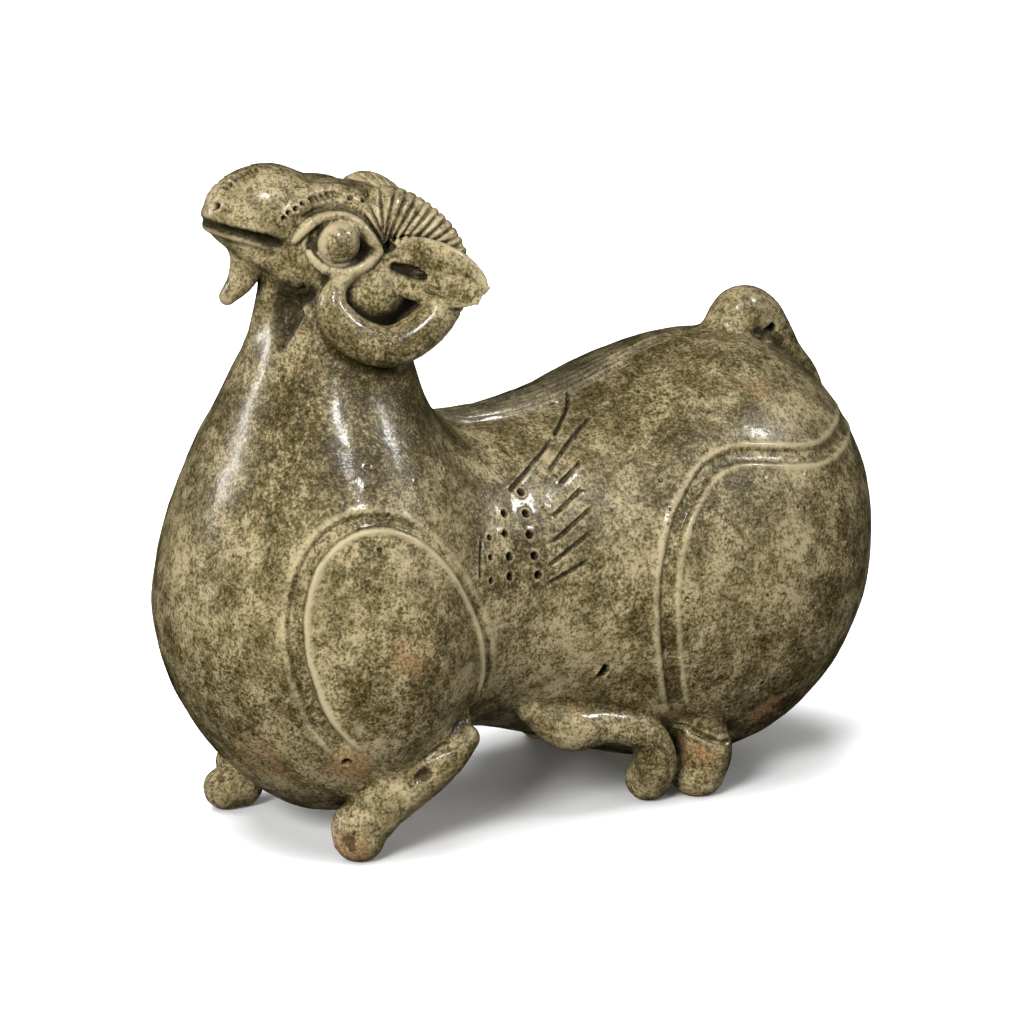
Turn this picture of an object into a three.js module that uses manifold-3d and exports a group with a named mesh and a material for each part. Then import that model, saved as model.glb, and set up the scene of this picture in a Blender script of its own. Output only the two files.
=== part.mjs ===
import * as THREE from 'three';
import { LoftGeometry } from 'three/addons/geometries/LoftGeometry.js';
import { mergeVertices } from 'three/addons/utils/BufferGeometryUtils.js';
import Module from 'manifold-3d';

// Celadon figure of a crouching ram, one fired piece of glazed stoneware.
// Millimetres, +Z up. The ram faces -X and its left flank is -Y. While it is
// modelled, x = 0 is where the forefeet stand and y = 0 is the middle plane.
// At the end the whole figure is moved so that the origin is in the middle of
// its length, on the ground.

// Breast and neck
const breast_center_x = 5.4;
const breast_center_z = 48.0;
const breast_half_length = 27.0;
const breast_half_width = 36.3;
const breast_half_height = 43.0;
const neck_foot_x = 1.9;
const neck_foot_z = 47.9;
const neck_foot_radius = 27.2;
const neck_top_x = 8.4;
const neck_top_z = 110.2;
const neck_top_radius = 13.6;
const breast_blend = 26.2;

// Waist and rump
const waist_front_x = 31.6;
const waist_front_z = 50.2;
const waist_front_radius = 31.3;
const waist_rear_x = 68.8;
const waist_rear_z = 45.4;
const waist_rear_radius = 35.7;
const rump_center_x = 98.5;
const rump_center_z = 45.8;
const rump_half_length = 36.8;
const rump_half_width = 37.4;
const rump_half_height = 44.1;
const rump_tilt_deg = 9.1;
const rump_blend = 34.5;
const saddle_blend = 15.1;

// Body skin: sections stand upright along the rump and waist, then turn about
// a pivot behind the saddle corner, then lie level up the neck.
const pivot_x = 54;
const pivot_z = 106;
const rump_sections = 11;
const turning_sections = 17;
const neck_sections = 4;
const points_round_body = 30;
const neck_skin_top_z = 121;

// The head is modelled looking straight ahead, then turned to its right
const head_turn_deg = 14;
const head_turn_x = 8;
const skull_center = [11, 119.8];
const skull_radii = [14.5, 12.2, 12.4];
const cheek_center = [1.5, 118.6];
const cheek_radii = [7.8, 10.8, 8.0];
const muzzle_center = [-7.4, 128.3];
const muzzle_radii = [10.5, 7.7, 8.2];
const bridge_front = [-4, 128.0];
const bridge_rear = [9, 123.4];
const bridge_radius = 8.3;
const head_blend = 7;
const head_back = [25, 118.5];
const head_front = [-17.9, 128.2];
const head_sections = 15;
const points_round_head = 20;

// Eyes and their lids, given as x and z on the left side of the head
const eye_center = [5.8, -9.7, 122.9];
const eye_radius = 4.3;
const socket_radii = [7.4, 2.6, 4.6];
const upper_lid_line = [[-3.6, 122.4], [-0.6, 126.2], [4.8, 128.3], [9.8, 126.4], [13.2, 121.2]];
const lower_lid_line = [[-2.6, 121.6], [1.4, 118.2], [5.9, 117.1], [10.4, 118.2], [13, 120.8]];
const lid_radius = 1.15;

// Horn, a ribbed coil that starts on the forehead and ends under the eye
const horn_turn = [
  [13, -4.6, 125.6], [17.6, -7, 128], [23.3, -10, 125.2], [27.3, -13, 119.6],
  [26.9, -15.5, 112.7], [22.1, -17.5, 106.5], [14.4, -18, 103], [7.3, -17, 105.1],
  [3.2, -15.6, 110.3], [4.2, -14.4, 114.8], [8.2, -12.6, 117],
];
const horn_root_radius = 4.6;
const horn_middle_radius = 4.1;
const horn_tip_radius = 2.0;
const horn_rib_depth = 0.4;
const horn_ribs = 13;
const ribbed_share_of_horn = 0.4;
const plain_horn_sections = 12;
const points_round_horn = 7;

// Ear, a drooping leaf with a hollow on its outer side
const ear_root = [15.5, -10.5, 117.6];
const ear_middle = [24.4, -19.4, 118.2];
const ear_tip = [31.8, -23.2, 113.2];
const ear_half_width = 6.2;
const ear_half_thickness = 2.1;
const ear_hollow = 1.25;
const ear_sections = 8;
const points_round_ear = 10;

// Jowl and nape fill the coil of the horn
const jowl_center = [11.6, -7.4, 112.8];
const jowl_radii = [6.4, 5.6, 6.6];
const nape_center = [16.5, 0, 112];
const nape_radii = [13, 11.5, 9];

// Beard, legs and tail are limbs: a line of stations, each with a radius
const beard_stations = [
  [-8.6, 0, 120.2, 3.8], [-10.1, 0, 117.2, 3.5], [-11.7, 0, 114, 2.5], [-13.6, 0, 111.2, 1.2],
];
const foreleg_stations = [
  [22.6, -28, 25.6, 3.0], [19.4, -27, 19.8, 5.4], [12.2, -24.8, 13.8, 6.3],
  [4.8, -22.8, 8.4, 6.2], [-0.6, -21.9, 3.5, 6.4], [-4, -21.4, 5.0, 5.2],
];
const hind_knee_stations = [
  [41, -21.8, 23.4, 2.4], [46, -22.8, 20.8, 4.6], [50.4, -23.8, 19.2, 5.2], [55.6, -25, 19, 4.4],
  [61, -26.4, 18, 3.9], [66.4, -27.4, 14.6, 4.0], [68.8, -27, 9.4, 4.6], [69.4, -25.2, 4.4, 5.0],
];
const hock_stations = [
  [79.4, -26, 15.4, 4.8], [80.2, -26.4, 9.8, 5.6], [79.2, -26.0, 4.6, 5.4],
];
const tail_stations = [
  [104.6, 0, 87, 4.6], [109.6, 0, 92.6, 5.3], [114.4, 0, 91.4, 5.1], [118.4, 0, 87.8, 4.0],
  [122.6, 0, 82.4, 3.0], [127.6, 0, 76.6, 2.5], [131.4, 0, 70.4, 1.6],
];
const far_hind_set_back = 6;

// Grooves that outline the shoulder and the haunch: along their lines, given
// as x and z on the left flank, a round tool runs with its middle just
// outside the skin.
const shoulder_line = [
  [-5.5, 23], [-12.6, 31.5], [-16.6, 41.5], [-17.8, 50], [-16.6, 58], [-13.5, 65.5],
  [-8, 70.8], [-1, 72], [6, 69], [12.6, 62.6], [18, 54.6], [22, 46.5], [24.6, 38], [25, 30],
];
const haunch_line = [
  [125, 73], [120, 71.6], [114, 70.2], [108, 69.4], [101.6, 69.8], [93.7, 71.1], [86.5, 72], [80.2, 70.9], [75.9, 68.5],
  [71.2, 64.3], [67.9, 59.9], [65.2, 53.4], [64.1, 46.4], [64.6, 39.9], [66, 33.1], [68.8, 25.7], [71, 21],
];
const groove_radius = 1.9;
const groove_depth = 0.85;
const mouth_line = [[-6, 123.3], [-9.6, 124.2], [-14, 125.8], [-17.2, 126.8]];
const mouth_front_x = -18.9;
const mouth_radius = 0.7;

// Hollow under each side of the jaw, in front of the neck
const throat_center = [-4.2, -6.0, 109.4];
const throat_radii = [3.4, 3.2, 5.6];

const kernel = await Module();
kernel.setup();

// Distance fields. Negative is inside.
function ellipsoid_field(x, y, z, center_x, center_z, radii, tilt_deg = 0) {
  const tilt = THREE.MathUtils.degToRad(tilt_deg);
  const dx = (x - center_x) * Math.cos(tilt) - (z - center_z) * Math.sin(tilt);
  const dz = (x - center_x) * Math.sin(tilt) + (z - center_z) * Math.cos(tilt);
  const near = Math.hypot(dx / radii[0], y / radii[1], dz / radii[2]);
  const steep = Math.hypot(dx / radii[0] ** 2, y / radii[1] ** 2, dz / radii[2] ** 2);
  return near * (near - 1) / Math.max(steep, 1e-9);
}

function cone_field(x, y, z, start, end, start_radius, end_radius) {
  const ax = end[0] - start[0];
  const az = end[1] - start[1];
  const along = ((x - start[0]) * ax + (z - start[1]) * az) / (ax * ax + az * az);
  const t = THREE.MathUtils.clamp(along, 0, 1);
  const away = Math.hypot(x - start[0] - ax * t, y, z - start[1] - az * t);
  return away - THREE.MathUtils.lerp(start_radius, end_radius, t);
}

function blend(a, b, reach) {
  const h = Math.max(reach - Math.abs(a - b), 0) / reach;
  return Math.min(a, b) - h * h * h * reach / 6;
}

function body_field(x, y, z) {
  const breast = ellipsoid_field(x, y, z, breast_center_x, breast_center_z,
    [breast_half_length, breast_half_width, breast_half_height]);
  const neck = cone_field(x, y, z, [neck_foot_x, neck_foot_z], [neck_top_x, neck_top_z],
    neck_foot_radius, neck_top_radius);
  const waist = cone_field(x, y, z, [waist_front_x, waist_front_z], [waist_rear_x, waist_rear_z],
    waist_front_radius, waist_rear_radius);
  const rump = ellipsoid_field(x, y, z, rump_center_x, rump_center_z,
    [rump_half_length, rump_half_width, rump_half_height], rump_tilt_deg);
  const front = blend(breast, neck, breast_blend);
  const back = blend(waist, rump, rump_blend);
  return blend(front, back, saddle_blend);
}

function head_field(x, y, z) {
  const skull = ellipsoid_field(x, y, z, skull_center[0], skull_center[1], skull_radii);
  const cheek = ellipsoid_field(x, y, z, cheek_center[0], cheek_center[1], cheek_radii);
  const muzzle = ellipsoid_field(x, y, z, muzzle_center[0], muzzle_center[1], muzzle_radii);
  const bridge = cone_field(x, y, z, bridge_rear, bridge_front, bridge_radius, bridge_radius);
  return blend(blend(skull, cheek, head_blend), blend(muzzle, bridge, head_blend), head_blend);
}

// Distance from a point inside to the skin of a field, along a direction.
function reach_skin(field, origin, direction) {
  const at = (t) => field(origin.x + direction.x * t, origin.y + direction.y * t,
    origin.z + direction.z * t);
  let outside = 1;
  while (at(outside) < 0 && outside < 140) outside += 1;
  let inside = outside - 1;
  for (let i = 0; i < 24; i += 1) {
    const middle = (inside + outside) / 2;
    if (at(middle) < 0) inside = middle;
    else outside = middle;
  }
  return inside;
}

// One closed section of a field, in the plane of "up" and the Y axis.
function section_of(field, center, up, count) {
  const points = [];
  for (let j = 0; j < count; j += 1) {
    const angle = j / count * 2 * Math.PI;
    const direction = up.clone().multiplyScalar(Math.cos(angle));
    direction.y += Math.sin(angle);
    const length = reach_skin(field, center, direction);
    points.push(center.clone().addScaledVector(direction, length));
  }
  return points;
}

function to_solid(geometry) {
  const bare = new THREE.BufferGeometry();
  bare.setAttribute('position', geometry.attributes.position);
  bare.setIndex(geometry.index);
  const closed = mergeVertices(bare, 1e-4);
  const index = closed.index.array;
  const kept = [];
  for (let i = 0; i < index.length; i += 3) {
    const [a, b, c] = [index[i], index[i + 1], index[i + 2]];
    if (a !== b && b !== c && c !== a) kept.push(a, b, c);
  }
  return new kernel.Manifold(new kernel.Mesh({
    numProp: 3,
    vertProperties: Float32Array.from(closed.attributes.position.array),
    triVerts: Uint32Array.from(kept),
  }));
}

function skin_of(solid) {
  const mesh = solid.getMesh();
  const geometry = new THREE.BufferGeometry();
  geometry.setAttribute('position', new THREE.Float32BufferAttribute(mesh.vertProperties, 3));
  geometry.setIndex(new THREE.Uint32BufferAttribute(mesh.triVerts, 1));
  return geometry;
}

// The same shape on the other side of the middle plane.
function mirrored(geometry) {
  const source = geometry.attributes.position;
  const order = geometry.index.array;
  const corner = new THREE.Vector3();
  const flipped = [];
  for (let i = 0; i < order.length; i += 3) {
    for (const k of [0, 2, 1]) {
      corner.fromBufferAttribute(source, order[i + k]);
      flipped.push(corner.x, -corner.y, corner.z);
    }
  }
  const result = new THREE.BufferGeometry();
  result.setAttribute('position', new THREE.Float32BufferAttribute(flipped, 3));
  result.setIndex([...Array(order.length).keys()]);
  return result;
}

function turned_head(geometry) {
  geometry.translate(-head_turn_x, 0, 0);
  geometry.rotateZ(-THREE.MathUtils.degToRad(head_turn_deg));
  geometry.translate(head_turn_x, 0, 0);
  return geometry;
}

function lofted(sections) {
  return new LoftGeometry(sections, { closed: true, capStart: true, capEnd: true });
}

// A limb: round sections along a smooth line, swelling by its stations'
// radii, with rounded ends. The shares say where along it the sections lie.
function limb(stations, shares, count, swell = () => 0) {
  const line = new THREE.CatmullRomCurve3(
    stations.map((s) => new THREE.Vector3(s[0], s[1], s[2])), false, 'centripetal');
  const radii = new THREE.SplineCurve(stations.map((s, i) => new THREE.Vector2(i, s[3])));
  const fine = 400;
  const frames = line.computeFrenetFrames(fine, false);
  const sections = [];
  const ring = (share, radius, shift) => {
    const k = Math.round(share * fine);
    const center = line.getPointAt(share).addScaledVector(frames.tangents[k], shift);
    const points = [];
    for (let j = 0; j < count; j += 1) {
      const angle = j / count * 2 * Math.PI;
      points.push(center.clone()
        .addScaledVector(frames.normals[k], Math.cos(angle) * radius)
        .addScaledVector(frames.binormals[k], Math.sin(angle) * radius));
    }
    sections.push(points);
  };
  const root = stations[0][3];
  const tip = stations[stations.length - 1][3];
  for (const angle of [0.25, 0.8]) {
    ring(0, root * Math.sin(angle), -root * Math.cos(angle));
  }
  for (const share of shares) {
    ring(share, radii.getPoint(line.getUtoTmapping(share)).y + swell(share), 0);
  }
  for (const angle of [0.8, 0.25]) {
    ring(1, tip * Math.sin(angle), tip * Math.cos(angle));
  }
  return lofted(sections);
}

function even_shares(steps) {
  return Array.from({ length: steps + 1 }, (_, i) => i / steps);
}

function build_body() {
  const sections = [];
  let rump_end_x = 0;
  let rump_end_z = 0;
  for (let z = 30; z < 60; z += 0.5) {
    const x = 90 + reach_skin(body_field, new THREE.Vector3(90, 0, z), new THREE.Vector3(1, 0, 0));
    if (x > rump_end_x) {
      rump_end_x = x;
      rump_end_z = z;
    }
  }
  const upright = new THREE.Vector3(0, 0, 1);
  for (let i = 0; i < rump_sections; i += 1) {
    const share = 0.992 * (1 - i / rump_sections);
    const x = pivot_x + (rump_end_x - pivot_x) * Math.sin(share * Math.PI / 2);
    const z = THREE.MathUtils.lerp(48, rump_end_z, share);
    sections.push(section_of(body_field, new THREE.Vector3(x, 0, z), upright, points_round_body));
  }
  for (let i = 0; i <= turning_sections; i += 1) {
    const share = i / turning_sections;
    const turn = -Math.PI / 2 * (1 + share);
    const outward = new THREE.Vector3(Math.cos(turn), 0, Math.sin(turn));
    const distance = THREE.MathUtils.lerp(58, 46.4, share) + 46 * share * (1 - share);
    const center = new THREE.Vector3(pivot_x, 0, pivot_z).addScaledVector(outward, distance);
    sections.push(section_of(body_field, center, outward.clone().negate(), points_round_body));
  }
  for (let i = 1; i <= neck_sections; i += 1) {
    const z = THREE.MathUtils.lerp(pivot_z, neck_skin_top_z, i / neck_sections);
    sections.push(section_of(body_field, new THREE.Vector3(7.6, 0, z), new THREE.Vector3(1, 0, 0),
      points_round_body));
  }
  return lofted(sections);
}

function build_head() {
  const back = new THREE.Vector3(head_back[0], 0, head_back[1]);
  const front = new THREE.Vector3(head_front[0], 0, head_front[1]);
  const forward = front.clone().sub(back).normalize();
  const up = new THREE.Vector3(-forward.z, 0, forward.x).negate();
  const sections = [];
  for (let i = 0; i <= head_sections; i += 1) {
    const share = (1 - Math.cos(Math.PI * i / head_sections)) / 2;
    const center = back.clone().lerp(front, THREE.MathUtils.lerp(0.004, 0.996, share));
    sections.push(section_of(head_field, center, up, points_round_head));
  }
  return lofted(sections);
}

function on_head(x, z, lift) {
  const width = reach_skin(head_field, new THREE.Vector3(x, 0, z), new THREE.Vector3(0, -1, 0));
  return [x, -width - lift, z];
}

function build_eyeball() {
  const ball = new THREE.SphereGeometry(eye_radius, 14, 8);
  ball.rotateX(Math.PI / 2);
  ball.translate(...eye_center);
  return ball;
}

function build_lid(line) {
  const stations = line.map(([x, z], i) => {
    const end = i === 0 || i === line.length - 1;
    return [...on_head(x, z, end ? -0.2 : 0.2), end ? lid_radius * 0.7 : lid_radius];
  });
  return limb(stations, even_shares(6), 5);
}

function oval_lump(center, radii) {
  const lump = new THREE.SphereGeometry(1, 10, 7);
  lump.scale(...radii);
  lump.translate(...center);
  return lump;
}

function build_horn() {
  const count = horn_turn.length - 1;
  const stations = horn_turn.map((p, i) => {
    const share = i / count;
    const wide = THREE.MathUtils.lerp(horn_root_radius, horn_middle_radius, Math.min(share * 4, 1));
    const taper = THREE.MathUtils.smoothstep(share, 0.7, 1);
    return [...p, wide - taper * (horn_middle_radius - horn_tip_radius)];
  });
  const shares = [];
  for (let i = 0; i < 2 * horn_ribs; i += 1) {
    shares.push(i / (2 * horn_ribs) * ribbed_share_of_horn);
  }
  for (let i = 0; i <= plain_horn_sections; i += 1) {
    shares.push(THREE.MathUtils.lerp(ribbed_share_of_horn, 1, i / plain_horn_sections));
  }
  const ribs = (share) => (share < ribbed_share_of_horn
    ? horn_rib_depth * Math.cos(share / ribbed_share_of_horn * horn_ribs * 2 * Math.PI) : 0);
  return limb(stations, shares, points_round_horn, ribs);
}

function build_ear() {
  const line = new THREE.QuadraticBezierCurve3(
    new THREE.Vector3(...ear_root), new THREE.Vector3(...ear_middle), new THREE.Vector3(...ear_tip));
  const sections = [];
  for (let i = 0; i <= ear_sections; i += 1) {
    const share = Math.min(1, i / ear_sections);
    const tangent = line.getTangentAt(share);
    const wide = new THREE.Vector3(0, 0, 1).addScaledVector(tangent, -tangent.z).normalize();
    const thin = new THREE.Vector3().crossVectors(tangent, wide);
    const round_tip = Math.sqrt(Math.max(0, 1 - ((share - 0.45) / 0.552) ** 2));
    const width = ear_half_width * (share < 0.45 ? 1 - 0.25 * (1 - share / 0.45) ** 2 : round_tip);
    const thickness = Math.max(ear_half_thickness * (1 - 0.45 * share), 0.3)
      * Math.min(1, 0.25 + width / 4);
    const points = [];
    for (let j = 0; j < points_round_ear; j += 1) {
      const angle = j / points_round_ear * 2 * Math.PI;
      const sine = Math.sin(angle);
      const hollow = sine > 0 ? -ear_hollow * sine * sine * sine : 0;
      points.push(line.getPointAt(share)
        .addScaledVector(wide, Math.max(width, 0.35) * Math.cos(angle))
        .addScaledVector(thin, thickness * (sine + hollow)));
    }
    sections.push(points);
  }
  return lofted(sections);
}

// A tool running along a line on the skin of the left flank.
function build_groove_tool(line) {
  const curve = new THREE.CatmullRomCurve3(
    line.map(([x, z]) => {
      const inside = new THREE.Vector3(x, 0, z);
      const width = reach_skin(body_field, inside, new THREE.Vector3(0, -1, 0));
      const e = 0.05;
      const outward = new THREE.Vector3(
        body_field(x + e, -width, z) - body_field(x - e, -width, z),
        body_field(x, -width + e, z) - body_field(x, -width - e, z),
        body_field(x, -width, z + e) - body_field(x, -width, z - e)).normalize();
      return new THREE.Vector3(x, -width, z)
        .addScaledVector(outward, groove_radius - groove_depth);
    }), false, 'centripetal');
  const steps = 16;
  const frames = curve.computeFrenetFrames(steps, false);
  const sections = [];
  for (let i = 0; i <= steps; i += 1) {
    const points = [];
    for (let j = 0; j < 6; j += 1) {
      const angle = j / 6 * 2 * Math.PI;
      points.push(curve.getPointAt(i / steps)
        .addScaledVector(frames.normals[i], Math.cos(angle) * groove_radius)
        .addScaledVector(frames.binormals[i], Math.sin(angle) * groove_radius));
    }
    sections.push(points);
  }
  return lofted(sections);
}

function build_mouth_tool() {
  const left = mouth_line.map(([x, z]) => on_head(x, z, 0.1));
  const right = left.map(([x, y, z]) => [x, -y, z]).reverse();
  const front = [mouth_front_x, 0, mouth_line[mouth_line.length - 1][1] + 0.2];
  return limb([...left, front, ...right].map((p) => [...p, mouth_radius]), even_shares(12), 5);
}

let head = to_solid(build_head());
const socket = oval_lump(on_head(eye_center[0] - 0.6, eye_center[2], 0.4), socket_radii);
head = head.subtract(to_solid(socket)).subtract(to_solid(mirrored(socket)));
head = head.subtract(to_solid(build_mouth_tool()));
const head_parts = [
  build_eyeball(),
  build_lid(upper_lid_line),
  build_lid(lower_lid_line),
  build_horn(),
  build_ear(),
  oval_lump(jowl_center, jowl_radii),
];
for (const part of head_parts) {
  head = head.add(to_solid(part)).add(to_solid(mirrored(part)));
}
head = head.add(to_solid(oval_lump(nape_center, nape_radii)));
head = head.add(to_solid(limb(beard_stations, even_shares(5), 8)));

let figure = to_solid(build_body());
const hollow = oval_lump(throat_center, throat_radii);
figure = figure.subtract(to_solid(turned_head(mirrored(hollow))));
figure = figure.subtract(to_solid(turned_head(hollow)));
figure = figure.add(to_solid(turned_head(skin_of(head))));

const foreleg = limb(foreleg_stations, even_shares(7), 10);
figure = figure.add(to_solid(foreleg)).add(to_solid(mirrored(foreleg)));

const hind_parts = [
  limb(hind_knee_stations, even_shares(10), 8),
  limb(hock_stations, even_shares(3), 8),
];
for (const part of hind_parts) {
  const far = mirrored(part);
  far.translate(far_hind_set_back, 0, 0);
  figure = figure.add(to_solid(part)).add(to_solid(far));
}
figure = figure.add(to_solid(limb(tail_stations, even_shares(9), 8)));

for (const line of [shoulder_line, haunch_line]) {
  const tool = build_groove_tool(line);
  figure = figure.subtract(to_solid(tool)).subtract(to_solid(mirrored(tool)));
}

// The feet are ground level with the table.
const below_ground = new THREE.BoxGeometry(300, 200, 20);
below_ground.translate(50, 0, -10);
figure = figure.subtract(to_solid(below_ground));

const geometry = skin_of(figure);
geometry.computeBoundingBox();
const middle_x = (geometry.boundingBox.min.x + geometry.boundingBox.max.x) / 2;
geometry.translate(-middle_x, 0, 0);

const glaze = new THREE.MeshStandardMaterial({ color: 0x8d8a62, roughness: 0.32, metalness: 0 });
const ram = new THREE.Mesh(geometry, glaze);
ram.name = 'ram_figure';

const object = new THREE.Group();
object.add(ram);

export default object;
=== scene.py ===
import math

import bpy
import numpy as np
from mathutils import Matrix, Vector


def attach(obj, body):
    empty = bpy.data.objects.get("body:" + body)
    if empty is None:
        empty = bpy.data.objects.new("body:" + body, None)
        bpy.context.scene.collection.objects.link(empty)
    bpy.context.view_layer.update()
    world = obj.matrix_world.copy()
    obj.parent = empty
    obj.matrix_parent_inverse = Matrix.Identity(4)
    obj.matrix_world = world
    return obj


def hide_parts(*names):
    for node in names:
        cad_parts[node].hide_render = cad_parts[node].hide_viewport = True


# Celadon ram, the finished look. A copy of the solid is given a fine even skin,
# settled onto the smooth forms that the solid was cut from, then carved and
# glazed. All shaping is worked out in millimetres in the modelling frame:
# x = 0 is where the forefeet stand, -X is forward, -Y is the ram's left and
# z = 0 is the ground. Head parts lie in the head's own frame, which is turned
# about an upright axis. Limbs are lines of (x, y, z, radius).

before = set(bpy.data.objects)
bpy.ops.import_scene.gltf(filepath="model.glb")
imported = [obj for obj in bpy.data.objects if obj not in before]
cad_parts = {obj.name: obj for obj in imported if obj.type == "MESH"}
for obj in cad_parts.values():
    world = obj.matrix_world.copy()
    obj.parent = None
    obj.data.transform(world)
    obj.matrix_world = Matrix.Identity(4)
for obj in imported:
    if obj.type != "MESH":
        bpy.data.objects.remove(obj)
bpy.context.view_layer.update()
scene = bpy.context.scene

middle_x = 53.808
head_turn = math.radians(14)
head_turn_x = 8.0
far_hind_set_back = 6.0
near_fore_set_back = 1.2
far_fore_set_forward = 1.0

rough_voxel = 0.0008
cutter_voxel = 0.0002
fine_voxel = 0.00044
triangles_wanted = 186000

camera_azimuth = math.radians(-35.2)
camera_elevation = math.radians(15.3)
camera_distance = 1.2
camera_target = ((52.0 - middle_x) / 1000, 0, 0.0585)
camera_lens = 206.6


# Camera

def place_camera():
    backward = Vector((
        math.sin(camera_azimuth) * math.cos(camera_elevation),
        -math.cos(camera_azimuth) * math.cos(camera_elevation),
        math.sin(camera_elevation),
    ))
    data = bpy.data.cameras.new("camera")
    data.sensor_width = 36.0
    data.lens = camera_lens
    data.clip_end = 50.0
    camera = bpy.data.objects.new("camera", data)
    scene.collection.objects.link(camera)
    camera.location = Vector(camera_target) + backward * camera_distance
    camera.rotation_euler = backward.to_track_quat("Z", "Y").to_euler()
    scene.camera = camera


place_camera()


# Fields: signed distances in millimetres, negative inside

far_off = 40.0


def length_of(v):
    return np.sqrt((v * v).sum(-1))


def oval(p, center, radii, tilt=0.0):
    """An egg shape; a tilt turns it about the Y axis."""
    dx = p[:, 0] - center[0]
    dz = p[:, 2] - center[2]
    c, s = math.cos(tilt), math.sin(tilt)
    q = np.stack([dx * c - dz * s, p[:, 1] - center[1], dx * s + dz * c], 1)
    radii = np.array(radii, float)
    near = length_of(q / radii)
    steep = length_of(q / radii ** 2)
    return near * (near - 1) / np.maximum(steep, 1e-9)


def cone(p, start, end, start_radius, end_radius):
    """A round-ended limb that tapers evenly from start to end."""
    start, end = np.array(start, float), np.array(end, float)
    d = end - start
    t = np.clip((p - start) @ d / (d @ d), 0, 1)
    return length_of(p - start - t[:, None] * d) - start_radius - (end_radius - start_radius) * t


def blend(a, b, reach):
    """Joins two fields with a soft fillet as wide as reach."""
    h = np.maximum(reach - np.abs(a - b), 0) / reach
    return np.minimum(a, b) - h ** 3 * reach / 6


def carve(a, tool, reach):
    """Cuts a tool out of a field, with the edge rounded over reach."""
    return -blend(-a, tool, reach)


def smooth_line(stations, steps=6):
    """A curve through all stations, with every column smoothed alike."""
    s = np.array(stations, float)
    s = np.vstack([2 * s[0] - s[1], s, 2 * s[-1] - s[-2]])
    points = []
    for i in range(1, len(s) - 2):
        for k in range(steps):
            t = k / steps
            bend = 2 * s[i - 1] - 5 * s[i] + 4 * s[i + 1] - s[i + 2]
            twist = -s[i - 1] + 3 * s[i] - 3 * s[i + 1] + s[i + 2]
            points.append((2 * s[i] + (s[i + 1] - s[i - 1]) * t + bend * t * t + twist * t ** 3) / 2)
    points.append(s[-2])
    return np.array(points)


def shares_along(line):
    """The share of the length at each point of a line, and the whole length."""
    steps = length_of(np.diff(line[:, :3], axis=0))
    total = np.concatenate([[0], np.cumsum(steps)])
    return total / total[-1], total[-1]


def nearest_on(p, line):
    """Distance to a line, the share of its length, the offset and the line's direction there."""
    shares, _ = shares_along(line)
    best = np.full(len(p), 1e9)
    share = np.zeros(len(p))
    offset = np.zeros((len(p), 3))
    heading = np.zeros((len(p), 3))
    for i in range(len(line) - 1):
        a = line[i, :3]
        d = line[i + 1, :3] - a
        t = np.clip((p - a) @ d / (d @ d), 0, 1)
        away = p - a - t[:, None] * d
        distance = length_of(away)
        closer = distance < best
        best[closer] = distance[closer]
        share[closer] = shares[i] + t[closer] * (shares[i + 1] - shares[i])
        offset[closer] = away[closer]
        heading[closer] = d / math.sqrt(d @ d)
    return best, share, offset, heading


def close_to(p, line, reach):
    """Which points lie in a line's box, grown by reach."""
    low = line[:, :3].min(0) - reach
    high = line[:, :3].max(0) + reach
    return ((p > low) & (p < high)).all(1)


def tube(p, line):
    """A round limb along a line of x, y, z, radius."""
    field = np.full(len(p), far_off)
    near = close_to(p, line, line[:, 3].max() + 4)
    if near.any():
        shares, _ = shares_along(line)
        distance, share, _, _ = nearest_on(p[near], line)
        field[near] = distance - np.interp(share, shares, line[:, 3])
    return field


def body_field(p):
    breast = oval(p, (5.4, 0, 48), (27.0, 36.3, 43.0))
    neck = cone(p, (1.9, 0, 47.9), (8.4, 0, 110.2), 27.2, 13.6)
    waist = cone(p, (31.6, 0, 50.2), (68.8, 0, 45.4), 31.3, 35.7)
    rump = oval(p, (98.5, 0, 45.8), (36.8, 37.4, 44.1), math.radians(9.1))
    return blend(blend(breast, neck, 26.2), blend(waist, rump, 34.5), 15.1)


def head_form(h):
    skull = oval(h, (11, 0, 119.8), (14.5, 12.2, 12.4))
    cheek = oval(h, (1.5, 0, 118.6), (7.8, 10.8, 8.0))
    muzzle = oval(h, (-7.4, 0, 128.3), (10.5, 7.7, 8.2))
    bridge = cone(h, (9, 0, 123.4), (-4, 0, 128.0), 8.3, 8.3)
    return blend(blend(skull, cheek, 7), blend(muzzle, bridge, 7), 7)


def slope_of(field, p, value):
    """The direction in which a field grows, where value is the field at p."""
    step = 0.04
    slope = np.empty_like(p)
    for axis in range(3):
        moved = p.copy()
        moved[:, axis] += step
        slope[:, axis] = (field(moved) - value) / step
    return slope


def on_skin(field, start, direction, lift=0.0):
    """Where a line from a point inside leaves a field, moved outward by lift."""
    start, direction = np.array(start, float), np.array(direction, float)
    low, high = 0.0, 60.0
    for _ in range(26):
        middle = (low + high) / 2
        if field((start + direction * middle)[None, :])[0] < 0:
            low = middle
        else:
            high = middle
    return start + direction * (low + lift)


def on_head(x, z, lift=0.0):
    return on_skin(head_form, (x, 0, z), (0, -1, 0), lift)


def on_flank(x, z):
    return on_skin(body_field, (x, 0, z), (0, -1, 0))


def on_back(x, y):
    return on_skin(body_field, (x, y, 50), (0, 0, 1))


def to_head(p):
    """Points of the body's frame, seen in the head's frame."""
    c, s = math.cos(head_turn), math.sin(head_turn)
    dx = p[:, 0] - head_turn_x
    return np.stack([head_turn_x + dx * c - p[:, 1] * s, dx * s + p[:, 1] * c, p[:, 2]], 1)


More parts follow.
